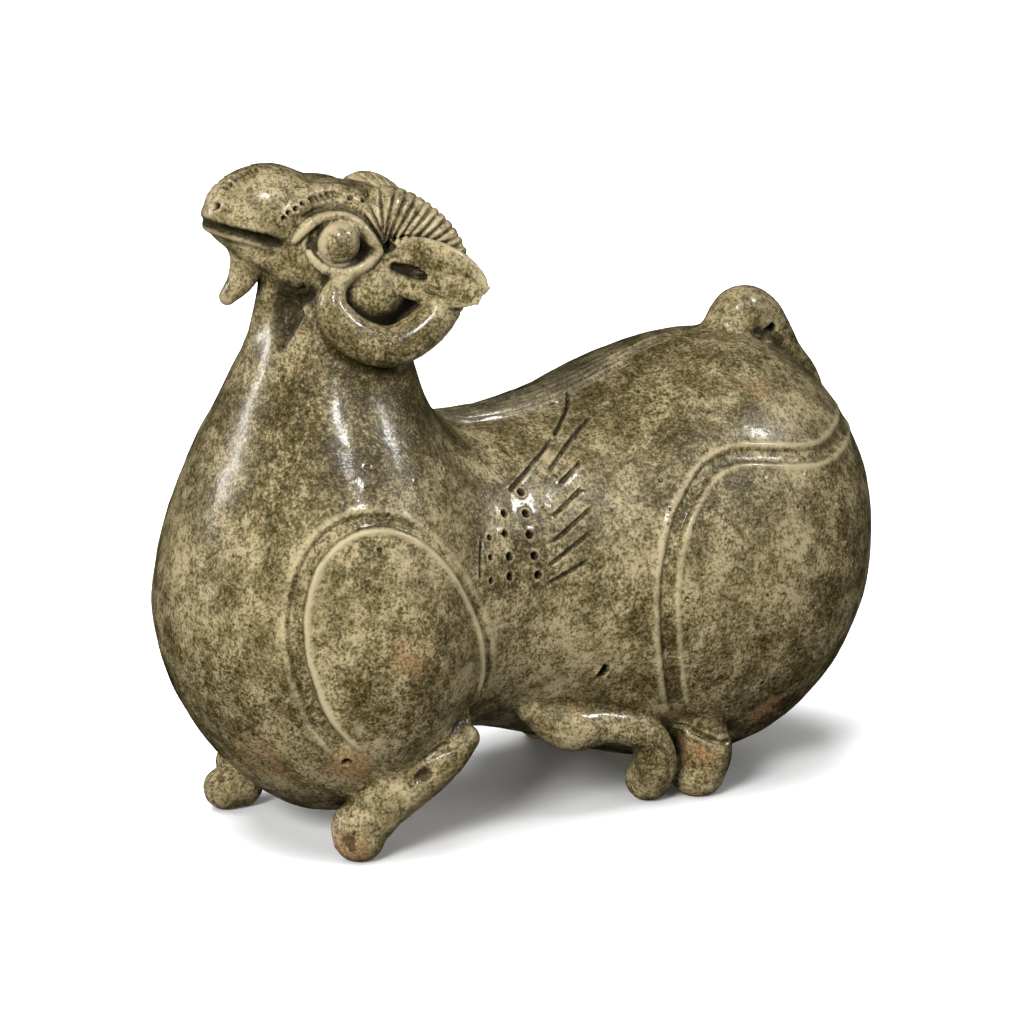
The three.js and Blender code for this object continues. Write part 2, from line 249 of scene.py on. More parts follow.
def from_head(line):
    """A limb of the head's frame, in the body's frame."""
    c, s = math.cos(head_turn), math.sin(head_turn)
    turned = line.copy()
    dx = line[:, 0] - head_turn_x
    turned[:, 0] = head_turn_x + dx * c + line[:, 1] * s
    turned[:, 1] = line[:, 1] * c - dx * s
    return turned


def near_head(p, lowest):
    """Which points lie above a height, in front of the saddle."""
    return (p[:, 2] > lowest) & (p[:, 0] < 48)


def left_side(p):
    """Points folded over onto the left side, where the shared forms are described."""
    folded = p.copy()
    folded[:, 1] = -np.abs(p[:, 1])
    return folded


# Head parts, all on the left side of the head

def head_tube(points, radius, lift):
    """A roll on the head's left side, through points seen from the side, thinner at both ends."""
    stations = [(*on_head(x, z, lift), radius) for x, z in points]
    stations[0] = (*stations[0][:3], radius * 0.6)
    stations[-1] = (*stations[-1][:3], radius * 0.6)
    return smooth_line(stations, 3)


eye_center = np.array((5.8, -11.2, 122.9))
eye_radii = (4.35, 3.7, 4.35)
socket_center = on_head(5.6, 122.9, 0.3)
socket_radii = (6.9, 3.6, 4.5)
upper_lid = head_tube([
    (-2.8, 123.8), (-0.8, 126.1), (2.2, 127.7), (6.2, 127.9), (9.2, 126.9), (11.2, 124.9), (12.6, 122.8),
    (14.2, 121.0),
], 1.25, 0.6)
lower_lid = smooth_line([
    (0.0, -10.7, 121.4, 0.8), (1.2, -11.4, 119.5, 1.2), (3.4, -12.1, 118.0, 1.3), (6.4, -12.9, 117.4, 1.3),
    (9.4, -13.6, 118.1, 1.25), (12, -13.2, 119.5, 1.15), (14.2, -12.5, 121.2, 0.7),
], 3)
lid_crease = head_tube([
    (-3.4, 125.7), (0.0, 128.4), (2.8, 129.5), (6.4, 129.7), (9.3, 128.9), (11.6, 127.2), (13.2, 124.9),
    (14.6, 122.4),
], 0.42, 0.4)
brow_fold = head_tube([
    (-4.0, 127.8), (-0.9, 130.3), (2.4, 131.4), (5.6, 131.6), (8.6, 131.1), (11.4, 129.8), (13.7, 127.8),
    (15.4, 125.2), (16.2, 122.6),
], 2.1, -1.1)
mouth_slit = smooth_line([
    (*on_head(-5.6, 123.3, -0.1), 0.6), (*on_head(-7.6, 124.1, -0.3), 1.05),
    (*on_head(-10.1, 125.0, 0.0), 0.85), (*on_head(-12.6, 125.7, 0.25), 0.68),
    (*on_head(-14.8, 126.3, 0.4), 0.55), (-17.6, -3.4, 126.8, 0.5), (-18.7, 0, 127.0, 0.5),
], 3)
upper_lip = smooth_line([
    (*on_head(-6.6, 125.1, -0.8), 0.7), (*on_head(-9, 125.9, -0.7), 1.0),
    (*on_head(-12.4, 126.9, -0.7), 1.1), (*on_head(-15, 127.6, -0.7), 1.1),
    (-16.9, -1.8, 128.1, 1.0), (-17.2, 0, 128.2, 1.0),
], 3)
lower_lip = smooth_line([
    (*on_head(-7.2, 122.6, -0.8), 0.8), (*on_head(-10, 123.9, -0.6), 1.05),
    (*on_head(-12.6, 124.6, -0.4), 1.1), (*on_head(-15, 125.3, -0.4), 1.1),
    (-16.7, -1.8, 125.7, 1.05), (-17.0, 0, 125.8, 1.05),
], 3)
jaw_edge = smooth_line([
    (-11.4, -3.2, 121.6, 1.0), (-9.4, -4.2, 120.8, 1.4), (-7.2, -5.2, 119.4, 1.5), (-4.6, -6.8, 117.6, 1.5),
    (-2.4, -8.2, 115.8, 1.4), (-0.6, -8.8, 113.8, 1.0),
], 3)
throat_edge = smooth_line([
    (-3.0, 0, 118.5, 3.0), (-4.4, 0, 112, 2.7), (-5.4, 0, 106, 2.8), (-6.6, 0, 99, 3.0),
], 4)
throat_valley = smooth_line([
    (-0.2, -10.2, 113.2, 1.4), (-2.4, -8.4, 112.6, 2.9), (-3.1, -7.4, 110.6, 3.6), (-4.0, -7.8, 107.6, 2.9),
    (-5.8, -9.4, 103.4, 0.9),
], 3)
beard = smooth_line([
    (-8.6, 0, 120.2, 4.0), (-9.4, 0, 117, 3.3), (-10.9, 0, 114, 2.6), (-13.4, 0, 111.4, 1.7),
], 4)

horn_turn = [
    (13, -4.6, 125.6), (17.6, -7, 128), (23.3, -10, 125.2), (27.3, -13, 119.6), (26.9, -15.5, 112.7),
    (22.1, -17.5, 106.5), (14.4, -18, 103), (7.3, -17, 105.1), (3.2, -15.6, 110.3), (4.2, -14.4, 114.8),
    (8.2, -12.9, 117.3),
]
horn_middle = np.array((15.0, -13.5, 115.0))
horn_furrows = 21
furrowed_share = 0.46
furrow_cut = 0.75
ear_slit = smooth_line([
    (16.9, -13.0, 117.7, 0.65), (19.3, -15.0, 117.0, 1.2), (21.4, -17.1, 116.2, 0.65),
], 3)


def horn_line():
    stations = []
    for i, place in enumerate(horn_turn):
        share = i / (len(horn_turn) - 1)
        wide = 4.6 - 0.5 * min(share * 4, 1)
        late = min(max((share - 0.7) / 0.3, 0), 1)
        taper = late * late * (3 - 2 * late)
        stations.append((*place, wide - 2.7 * taper))
    return smooth_line(stations, 4)


horn = horn_line()


def horn_field(h):
    """The coil: round below, and a broad flattened band above, wider to its inside."""
    field = np.full(len(h), far_off)
    near = close_to(h, horn, 9)
    if not near.any():
        return field
    q = h[near]
    shares, _ = shares_along(horn)
    _, share, offset, heading = nearest_on(q, horn)
    inward = horn_middle - (q - offset)
    inward -= (inward * heading).sum(1)[:, None] * heading
    inward /= length_of(inward)[:, None]
    sideways = np.cross(heading, inward)
    band = np.clip((furrowed_share + 0.04 - share) / 0.12, 0, 1) * np.clip(share / 0.06, 0, 1)
    along = (offset * heading).sum(1)
    across = (offset * inward).sum(1)
    across = np.where(across > 0, across / (1 + 0.62 * band), across)
    through = (offset * sideways).sum(1)
    square = 2 + 0.9 * band
    flat = (np.abs(across) ** square + np.abs(through) ** square) ** (1 / square)
    field[near] = np.hypot(flat, along) - np.interp(share, shares, horn[:, 3])
    return field


def furrow_depth(h):
    """Narrow furrows across the upper half of the horn, deepest on its inside, from 0 to 1."""
    depth = np.zeros(len(h))
    near = close_to(h, horn, 9)
    if not near.any():
        return depth
    _, share, offset, _ = nearest_on(h[near], horn)
    outer = horn_middle - (h[near] - offset)
    outer = -(offset * outer).sum(1) / length_of(outer)
    furrow = hump((share / furrowed_share * horn_furrows) % 1.0 - 0.5, 0.19)
    fade = np.clip((furrowed_share + 0.02 - share) / 0.04, 0, 1) * np.clip(share / 0.03, 0, 1)
    fade *= 1 - 0.55 * soft_step((outer - 1.8) / 1.8)
    depth[near] = furrow * fade * soft_step((1.2 - horn_field(h[near])) / 0.8)
    return depth


ear_root = np.array((15.5, -10.5, 117.6))
ear_middle = np.array((23.9, -20.6, 118.4))
ear_tip = np.array((31.0, -24.2, 113.2))
ear_half_width = 6.6
ear_end_reach = 1.8


def ear_line():
    points = []
    for t in np.linspace(0, 1, 15):
        points.append(ear_root * (1 - t) ** 2 + ear_middle * 2 * t * (1 - t) + ear_tip * t * t)
    return np.array(points)


ear = ear_line()


def ear_width(share):
    """Half the ear's width, from its root at 0 to its rounded tip at 1."""
    round_tip = np.sqrt(np.maximum(1 - (np.maximum(share - 0.45, 0) / 0.58) ** 2, 0.12))
    return ear_half_width * np.where(share < 0.45, 1 - 0.25 * (1 - share / 0.45) ** 2, round_tip)


def ear_cup(share, spread):
    """How deep the ear is hollowed, at a share of its width from the middle."""
    return -(1.1 + 0.5 * np.clip(0.8 - 2 * share, 0, 1)) * (1 - spread ** 2)


def ear_axes(heading):
    """Directions across the ear and through it."""
    wide = np.array((0, 0, 1.0)) - heading * heading[:, 2:3]
    wide /= length_of(wide)[:, None]
    return wide, np.cross(heading, wide)


def ear_field(h):
    """A cupped leaf with a thick rim, whose hollow faces forward and out."""
    field = np.full(len(h), far_off)
    near = close_to(h, ear, 11)
    if not near.any():
        return field
    _, share, offset, heading = nearest_on(h[near], ear)
    wide, thin = ear_axes(heading)
    across = (offset * wide).sum(1)
    width = ear_width(share)
    spread = np.clip(np.abs(across) / width, 0, 1)
    thickness = np.maximum(2.1 - 0.7 * share, 1.35) * (1 + 0.3 * hump(spread - 0.76, 0.24))
    through = ((offset * thin).sum(1) - ear_cup(share, spread)) / thickness
    past_end = (offset * heading).sum(1)
    near_one = np.sqrt((across / width) ** 2 + through ** 2 + (past_end / ear_end_reach) ** 2)
    end_slope = past_end / ear_end_reach ** 2
    steep = np.sqrt((across / width ** 2) ** 2 + (through / thickness) ** 2 + end_slope ** 2)
    field[near] = near_one * (near_one - 1) / np.maximum(steep, 1e-6)
    return field


def ear_roll(spread):
    """A line inside the ear, at a share of its width from the middle."""
    line = ear[3:]
    share = np.linspace(0, 1, len(ear))[3:]
    heading = np.gradient(line, axis=0)
    wide, thin = ear_axes(heading / length_of(heading)[:, None])
    across = spread * ear_width(share)
    cup = ear_cup(share, abs(spread))
    middle = line + wide * across[:, None] + thin * cup[:, None]
    return np.column_stack([middle, np.full(len(line), 1.15)])


def head_field(h):
    """The whole head, from points in the head's frame."""
    side = left_side(h)
    field = head_form(h)
    field = blend(field, oval(side, (12.6, -8.8, 112.6), (8.0, 6.6, 7.6)), 4)
    field = blend(field, oval(h, (16.5, 0, 112), (13, 11.5, 9)), 6)
    field = carve(field, oval(side, socket_center, socket_radii), 0.5)
    field = blend(field, tube(side, jaw_edge), 2.5)
    field = blend(field, tube(side, upper_lip), 1.4)
    field = blend(field, tube(side, lower_lip), 1.4)
    field = carve(field, tube(side, mouth_slit), 0.5)
    field = blend(field, tube(h, beard), 3)
    field = blend(field, tube(side, brow_fold), 2.4)
    field = carve(field, tube(side, lid_crease), 0.5)
    field = blend(field, tube(side, upper_lid), 0.8)
    field = blend(field, tube(side, lower_lid), 0.8)
    field = blend(field, oval(side, eye_center, eye_radii), 0.12)
    field = blend(field, ear_field(side), 2.0)
    field = blend(field, horn_field(side), 0.5)
    field = carve(field, tube(side, ear_slit), 0.6)
    return carve(field, oval(side, (15.1, -11.8, 121.5), (1.0, 1.8, 0.75)), 0.3)


# Legs and tail

foreleg = smooth_line([
    (19.4, -28.6, 23.2, 2.9), (15.4, -27.8, 19.4, 3.6), (10.2, -26.2, 15.8, 3.8), (5.4, -24.4, 12.4, 4.3),
    (1.2, -22.8, 8.8, 5.1),
])
near_forefoot = smooth_line([(-1.6, -21.6, 4.8, 5.2), (-2.2, -21.5, 6.9, 5.0)])
far_forefoot = smooth_line([(0, -21.6, 4.6, 5.0), (-3.6, -21.3, 4.3, 4.4)])
tail_notch = smooth_line([
    (108.4, -5.2, 86.6, 0.6), (111.6, -5.0, 86.6, 0.9), (113.8, -4.8, 87.0, 1.9), (114.8, -3.6, 89.4, 1.3),
    (115, -1.4, 90.2, 0.8),
], 3)
fore_web = smooth_line([(15, -25, 22, 4.5), (9, -23.6, 18, 5.3), (3, -21.5, 13.5, 5.5)])
hind_knee = smooth_line([
    (41, -21.8, 23.4, 2.4), (46, -22.8, 20.8, 4.6), (50.4, -23.8, 19.2, 5.2), (55.6, -25, 19, 4.4),
    (61, -26.4, 18, 3.9), (66.8, -27.2, 14.6, 4.0), (69.2, -26.2, 9.2, 4.5), (69.6, -23.6, 4.6, 4.8),
])
hock = smooth_line([(80.4, -26.4, 15, 4.8), (81.2, -26.8, 9.6, 6.0), (80.2, -26.2, 5.0, 5.8)])
tail = smooth_line([
    (104.6, 0, 87, 4.6), (109.6, 0, 92.6, 5.3), (114.4, 0, 91.4, 5.1), (118.4, 0, 87.8, 4.0),
    (122.6, 0, 82.4, 3.0), (127.6, 0, 76.6, 2.5), (131.4, 0, 70.4, 1.6),
])


def on_forelegs(p):
    """Points folded onto the left side, with both forelegs brought level."""
    fore = left_side(p)
    fore[:, 0] += np.where(p[:, 1] > 0, far_fore_set_forward, -near_fore_set_back)
    return fore


def on_hind_legs(p):
    """Points folded onto the left side, with the far hind leg brought level with the near one."""
    hind = left_side(p)
    hind[p[:, 1] > 0, 0] -= far_hind_set_back
    return hind


def figure_field(p):
    """The smooth figure without its small marks."""
    field = body_field(p)
    high = near_head(p, 90)
    if high.any():
        h = to_head(p[high])
        neck = blend(field[high], tube(h, throat_edge), 3.0)
        neck = carve(neck, tube(left_side(h), throat_valley), 2.2)
        field[high] = blend(neck, head_field(h), 1.6)
    fore = on_forelegs(p)
    foot = np.where(p[:, 1] > 0, tube(fore, far_forefoot), tube(fore, near_forefoot))
    leg = blend(tube(fore, foreleg), foot, 1.2)
    leg = blend(leg, tube(fore, fore_web), 3.0)
    field = blend(field, leg, 2.6)
    hind = on_hind_legs(p)
    field = blend(field, tube(hind, hind_knee), 2.2)
    field = blend(field, tube(hind, hock), 2.2)
    field = blend(field, tube(p, tail), 3.0)
    field = carve(field, tube(p, tail_notch), 0.6)
    return carve(field, p[:, 2], 0.8)


# Relief: carved and pressed marks, as a height above the smooth skin

def soft_step(x):
    """Rises smoothly from 0 to 1 while x goes from 0 to 1."""
    t = np.clip(x, 0, 1)
    return t * t * (3 - 2 * t)


def hump(x, width):
    """A bell curve, 1 at its middle."""
    return np.exp(-(x / width) ** 2)


def flank_line(points, steps=4):
    line = smooth_line(points, steps)
    return np.array([on_flank(x, z) for x, z in line])


def outward_at(form, point):
    """The direction straight out of a form at a point."""
    slope = slope_of(form, point[None, :], form(point[None, :]))[0]
    return slope / math.sqrt(slope @ slope)


def along_skin(offset, outward):
    """An offset with most of its height above or below the skin taken out."""
    return offset - 0.85 * (offset @ outward)[:, None] * outward


shoulder_depth = 0.9
haunch_depth = 0.7
shoulder_line = flank_line([
    (-5.5, 23), (-12.6, 31.5), (-16.6, 41.5), (-17.8, 50), (-16.6, 58), (-13.5, 65.5),
    (-8, 70.8), (-1, 72), (6, 69), (12.6, 62.6), (18, 54.6), (22, 46.5), (24.6, 38), (25, 30),
])
haunch_line = flank_line([
    (126, 72.6), (120, 71.4), (114, 70.2), (108, 69.4), (101.6, 69.8), (93.7, 71.1), (86.5, 72),
    (80.2, 70.9), (75.9, 68.5), (71.2, 64.3), (67.9, 59.9), (65.2, 53.4), (64.1, 46.4), (64.6, 39.9),
    (66, 33.1), (68.8, 25.7), (72.6, 19.1),
])

# Marks on the left flank as x and z, the pits with a radius
wing_holes = [
    (37.2, 70.3), (31.3, 67.4), (36.4, 66.6), (25.9, 63.9), (30.1, 63.9), (35.9, 62.8), (25.1, 60.3),
    (29.9, 59.6), (36, 58.8), (24.4, 55.9), (29.4, 55.8), (36.3, 55),
]
wing_strokes = [
    [(63.9, 83), (56.5, 80), (51.7, 77.9)], [(51, 77.6), (42, 74), (34.7, 70.9)],
    [(62.1, 80.1), (54.1, 77), (45.8, 73)], [(53.8, 73.8), (46.5, 70.6)],
    [(50.9, 69.4), (42.4, 65.4)], [(51.4, 65.9), (40.8, 60.8)], [(49.9, 61.7), (38.9, 56.4)],
    [(47.5, 56.2), (38.5, 52.9)], [(23.7, 64.1), (22.2, 60.4), (21.4, 56.4)],
]
small_pits = [
    (57.9, 81.6, 0.7), (64.2, 80.1, 0.6), (67.7, 69.2, 0.5), (67.7, 63.9, 0.4), (18, 78.1, 0.5),
    (-2.4, 66.7, 0.55), (46.5, 71.9, 0.5), (-26.2, 53.4, 0.5), (-6.4, 22.6, 0.9),
]
# Marks on the left of the face, in the head's frame; the ticks are given by their x
brow_strokes = [
    (1.4, -8.6, 131.4), (2.7, -8.2, 131.7), (3.9, -7.8, 131.9), (5.2, -7.4, 132.0), (6.6, -7.3, 131.9),
]
brow_pricks = [
    (-4.7, -9.4, 128.4), (-3.7, -9.5, 129.4), (-2.3, -9.5, 130.1), (-0.8, -9.2, 131.0), (9.4, -8.1, 131.1),
    (11.8, -8.4, 130.0),
]
snout_ticks = [-12.3, -11.4, -10.5, -9.6, -8.7, -7.8]
muzzle_strokes = [
    [(-16.3, -1.4, 132.5), (-14.8, -1.2, 134.2)], [(-14.6, -1.6, 134.2), (-14.1, -3.4, 133.6)],
    [(-13.7, -1.4, 134.8), (-13.1, -3.4, 134.3)], [(-17.2, -1.4, 130.9), (-16.7, -1.4, 131.9)],
]


def channel(p, line, half, depth, lip_in, lip_out, inner_sign):
    """A flat-bottomed groove with a raised lip on each side, thinning out at its ends."""
    height = np.zeros(len(p))
    near = close_to(p, line, 7)
    if not near.any():
        return height
    distance, share, offset, heading = nearest_on(p[near], line)
    _, total = shares_along(line)
    cross = (offset[:, 0] * heading[:, 2] - offset[:, 2] * heading[:, 0]) * inner_sign
    signed = np.where(cross > 0, distance, -distance)
    wide = half(share)
    fade = soft_step(np.minimum(share, 1 - share) * total / 5)
    floor = -depth * (wide / half(0.25)) ** 0.5 * soft_step((wide + 0.45 - distance) / 0.9)
    lips = lip_in * hump(signed - wide - 1.0, 0.65) + lip_out * hump(signed + wide + 1.0, 0.75)
    height[near] = fade * (floor + lips)
    return height


def scratch(p, line, outward, half, depth, burr):
    """A sharp-bottomed stroke with a low burr along both edges."""
    height = np.zeros(len(p))
    near = close_to(p, line, 3)
    if near.any():
        _, share, offset, _ = nearest_on(p[near], line)
        distance = length_of(along_skin(offset, outward))
        _, total = shares_along(line)
        fade = soft_step(0.25 + np.minimum(share, 1 - share) * total / 1.4)
        cut = -depth * np.clip(1 - distance / half, 0, 1) ** 0.7
        height[near] = fade * (cut + burr * hump(distance - half - 0.3, 0.3))
    return height


def prick(p, center, outward, radius, depth, rim):
    """A round hole with a raised rim."""
    height = np.zeros(len(p))
    reach = radius * 2.5 + 1.2
    near = (np.abs(p - center) < reach).all(1)
    if near.any():
        d = length_of(along_skin(p[near] - center, outward))
        hole = -depth * soft_step((radius * 1.15 - d) / (radius * 0.55))
        height[near] = hole + rim * hump(d - radius * 1.45, radius * 0.42)
    return height


def shoulder_half(share):
    """Half the width of the shoulder groove, which narrows at the back."""
    return 1.55 - 0.95 * soft_step((np.asarray(share) - 0.42) / 0.25)


def haunch_half(share):
    return np.full(np.shape(share), 1.35)


def flank_prick(x, z, radius, depth, rim):
    center = on_flank(x, z)
    return center, outward_at(body_field, center), radius, depth, rim


def flank_scratch(points, half, depth, burr):
    line = flank_line(points, 2)
    return line, outward_at(body_field, line[len(line) // 2]), half, depth, burr


def head_prick(center, radius, depth, rim):
    center = np.array(center)
    return center, outward_at(head_form, center), radius, depth, rim


def head_scratch(points, half, depth, burr):
    line = np.array(points)
    return line, outward_at(head_form, line[0]), half, depth, burr


def snout_tick(x):
    """A short stroke across the top of the snout."""
    return [on_skin(head_form, (x, y, 126), (0, 0, 1)) for y in (-1.2, -3.0)]


def spine_scratch(row):
    """One of the long lines beside the spine, counted outward."""
    y = -(1.1 + 2.4 * row)
    line = np.array([on_back(x, y) for x in range(27 + row, 95 - 14 * row, 4)])
    return line, np.array((0, 0, 1.0)), 0.62, 0.6, 0.2


def scattered_pits(count, seed):
    """Small burst bubbles in the glaze, on both flanks."""
    source = np.random.default_rng(seed)
    pits = []
    while len(pits) < count:
        x, z = source.uniform(-18, 125), source.uniform(12, 84)
        size = source.uniform(0.28, 0.5)
        if body_field(np.array([[x, 0, z]]))[0] < -14:
            center, outward, *rest = flank_prick(x, z, size, size * 0.8, 0.08)
            if source.uniform() < 0.4:
                center, outward = center * (1, -1, 1), outward * (1, -1, 1)
            pits.append((center, outward, *rest))
    return pits


wing_pricks = [flank_prick(x, z, 0.6 if x < 27 else 0.8, 1.4, 0.16) for x, z in wing_holes]
wing_scratches = [flank_scratch(stroke, 0.46, 0.95, 0.1) for stroke in wing_strokes]
spine_scratches = [spine_scratch(row) for row in range(3)]
pits = [flank_prick(x, z, size, size * 1.2, 0.1) for x, z, size in small_pits] + scattered_pits(70, 7)
leg_hole = np.array([(8.0, -29.2, 16.6), (11.4, -29.4, 18.8)])
single_holes = [
    flank_scratch([(52.0, 30.4), (53.1, 33.4)], 0.95, 1.9, 0.15),
    (leg_hole, np.array((0.2, -0.9, -0.3)), 1.0, 1.1, 0.1),
]
leg_crease = np.array([(9.5, -29, 20.4), (13.8, -29.4, 22.6), (18.3, -29.8, 24.6), (21.5, -30.5, 26.9)])
hock_crease = np.array([(73.6, -27, 16.4), (76.2, -28.8, 14.9), (78.8, -31.2, 13.4), (84.6, -32, 11.2)])
face_pricks = [head_prick(center, 0.55, 1.1, 0.1) for center in brow_pricks]
face_pricks += [head_prick((15.3, -11.5, 121.4), 0.95, 1.5, 0.1)]
nostril = head_scratch([(-17.0, -2.5, 130.1), (-15.9, -3.8, 131.0)], 0.85, 1.4, 0.2)
face_scratches = []
for x, y, z in brow_strokes:
    stroke = [(x - 0.8, y + 0.2, z + 0.6), (x + 0.8, y - 0.5, z - 0.6)]
    face_scratches.append(head_scratch(stroke, 0.55, 1.1, 0.12))
for stroke in [snout_tick(x) for x in snout_ticks] + muzzle_strokes:
    face_scratches.append(head_scratch(stroke, 0.52, 1.0, 0.06))


def body_relief(p):
    """Grooves, wing marks, spine lines and creases alike on both flanks, and single holes and pits."""
    side = left_side(p)
    height = channel(side, shoulder_line, shoulder_half, shoulder_depth, 0.5, 0.2, 1)
    height += channel(side, haunch_line, haunch_half, haunch_depth, 0.28, 0.28, -1)
    for mark in wing_pricks:
        height += prick(side, *mark)
    for mark in wing_scratches + spine_scratches:
        height += scratch(side, *mark)
    for mark in single_holes:
        height += scratch(p, *mark)
    height += scratch(side, leg_crease, np.array((0.3, -0.8, -0.5)), 0.6, 0.6, 0.1)
    height += scratch(on_hind_legs(p), hock_crease, np.array((0.2, -0.8, -0.55)), 0.7, 0.9, 0.15)
    for mark in pits:
        height += prick(p, *mark)
    chip = length_of((p - on_flank(99.8, 14.9)) * (0.7, 1, 1.2))
    ragged_edge = 3.6 + 0.8 * np.sin(p[:, 0] * 2.1)
    return height - 0.35 * soft_step((ragged_edge - chip) / 0.6)


def head_relief(h):
    """Marks of the face and the furrows of the horns, alike on both sides."""
    side = left_side(h)
    height = np.zeros(len(h))
    for mark in face_pricks:
        height += prick(side, *mark)
    for mark in face_scratches:
        height += scratch(side, *mark)
    return height + scratch(side, *nostril) - furrow_cut * furrow_depth(side)


def waves(p, size, seed):
    """Gentle random unevenness between about -1 and 1."""
    source = np.random.default_rng(seed)
    total = np.zeros(len(p))
    for _ in range(7):
        direction = source.normal(size=3)
        direction *= 2 * math.pi / size / math.sqrt(direction @ direction) * source.uniform(0.7, 1.4)
        total += np.sin(p @ direction + source.uniform(0, 2 * math.pi))
    return total / 4


def foot_relief(p):
    """Toe clefts in the front of the forefeet."""
    side = left_side(p)
    height = np.zeros(len(p))
    for y in (-23.3, -20.1):
        cleft = np.array([(-7.0, y, 1.5), (-7.4, y, 5.5), (-6.4, y, 9.5)])
        height += scratch(side, cleft, np.array((-1.0, 0, 0)), 0.55, 0.7, 0.12)
    return height


def broad_waves(p):
    return 0.12 * waves(p, 17, 1)


def marks_relief(p):
    """The height of all marks, without the unevenness of the skin."""
    height = body_relief(p) + foot_relief(p)
    high = near_head(p, 100)
    if high.any():
        height[high] += head_relief(to_head(p[high]))
    return height


def relief(p):
    high = near_head(p, 100)
    uneven = broad_waves(p) + 0.05 * waves(p, 6, 2)
    calm = np.where(high, 0.35, 1.0) * soft_step((p[:, 2] - 1) / 6)
    return marks_relief(p) + uneven * calm


# Skin: an even mesh settled onto the fields

def read_points(obj):
    flat = np.empty(len(obj.data.vertices) * 3)
    obj.data.vertices.foreach_get("co", flat)
    return flat.reshape(-1, 3) * 1000 + (middle_x, 0, 0)


def write_points(obj, p):
    flat = ((p - (middle_x, 0, 0)) / 1000).ravel()
    obj.data.vertices.foreach_set("co", flat)
    obj.data.update()


def read_normals(obj):
    flat = np.empty(len(obj.data.vertices) * 3)
    obj.data.vertices.foreach_get("normal", flat)
    return flat.reshape(-1, 3)


def settle(obj, rounds):
    """Evens the mesh out and brings it back onto the figure's field, by turns."""
    edges = np.empty(len(obj.data.edges) * 2, int)
    obj.data.edges.foreach_get("vertices", edges)
    first, second = edges.reshape(-1, 2).T
    count = len(obj.data.vertices)
    shared = np.bincount(first, minlength=count) + np.bincount(second, minlength=count)
    p = read_points(obj)
    for turn in range(rounds):
        if turn < rounds - 1:
            for axis in range(3):
                near = np.bincount(first, p[second, axis], count) + np.bincount(second, p[first, axis], count)
                p[:, axis] += 0.5 * (near / np.maximum(shared, 1) - p[:, axis])
        value = figure_field(p)
        slope = slope_of(figure_field, p, value)
        steep = np.maximum((slope * slope).sum(1), 0.25)
        move = -slope * (value / steep)[:, None]
        size = length_of(move)
        p += move * np.minimum(1, 0.7 / np.maximum(size, 1e-9))[:, None]
    write_points(obj, p)


def apply_modifier(obj, kind, **settings):
    modifier = obj.modifiers.new(kind.lower(), kind)
    for name, value in settings.items():
        setattr(modifier, name, value)
    bpy.ops.object.modifier_apply(modifier=modifier.name)


def add_roll(line):
    """A roll of clay along a line of x, y, z, radius."""
    curve = bpy.data.curves.new("roll", "CURVE")
    curve.dimensions = "3D"
    curve.bevel_depth = 0.001
    curve.bevel_resolution = 2
    curve.use_fill_caps = True
    spline = curve.splines.new("POLY")
    spline.points.add(len(line) - 1)
    for point, (x, y, z, radius) in zip(spline.points, line):
        point.co = ((x - middle_x) / 1000, y / 1000, z / 1000, 1)
        point.radius = radius
    roll = bpy.data.objects.new("roll", curve)
    scene.collection.objects.link(roll)
    roll.select_set(True)


def mirrored(line, side):
    """A limb as it is for side 1, or on the other side of the middle for side -1."""
    return line * (1, side, 1, 1)


def add_rolls(ram):
    """Lays rolls of clay on the copy where the finished forms go beyond the solid."""
    bpy.ops.object.select_all(action="DESELECT")
    ram.select_set(True)
    for side in (1, -1):
        for line in (upper_lid, lower_lid, brow_fold, upper_lip, lower_lip, jaw_edge):
            add_roll(from_head(mirrored(line, side)))
        forefoot = near_forefoot if side == 1 else far_forefoot
        forward = -near_fore_set_back if side == 1 else far_fore_set_forward
        for line in (forefoot, fore_web):
            add_roll(mirrored(line, side) - (forward, 0, 0, 0))
    add_roll(from_head(throat_edge))
    for side in (1, -1):
        for spread in (-0.84, -0.5, 0, 0.5, 0.84):
            add_roll(from_head(mirrored(ear_roll(spread), side)))
    bpy.context.view_layer.objects.active = ram
    bpy.ops.object.convert(target="MESH")
    bpy.ops.object.join()


def cut_openings(ram):
    """Opens the mouth, the ears, the throat and the fold of the tail with rolls as cutters."""
    bpy.ops.object.select_all(action="DESELECT")
    for side in (1, -1):
        for line in (mouth_slit, ear_slit, throat_valley):
            wide_enough = mirrored(line, side)
            wide_enough[:, 3] = np.maximum(wide_enough[:, 3], 0.55)
            add_roll(from_head(wide_enough))
    add_roll(tail_notch)
    rolls = bpy.context.selected_objects
    bpy.context.view_layer.objects.active = rolls[0]
    bpy.ops.object.convert(target="MESH")
    bpy.ops.object.join()
    cutter = bpy.context.view_layer.objects.active
    apply_modifier(cutter, "REMESH", mode="VOXEL", voxel_size=cutter_voxel)
    bpy.ops.object.select_all(action="DESELECT")
    ram.select_set(True)
    bpy.context.view_layer.objects.active = ram
    apply_modifier(ram, "BOOLEAN", operation="DIFFERENCE", object=cutter, solver="MANIFOLD")
    bpy.data.objects.remove(cutter)


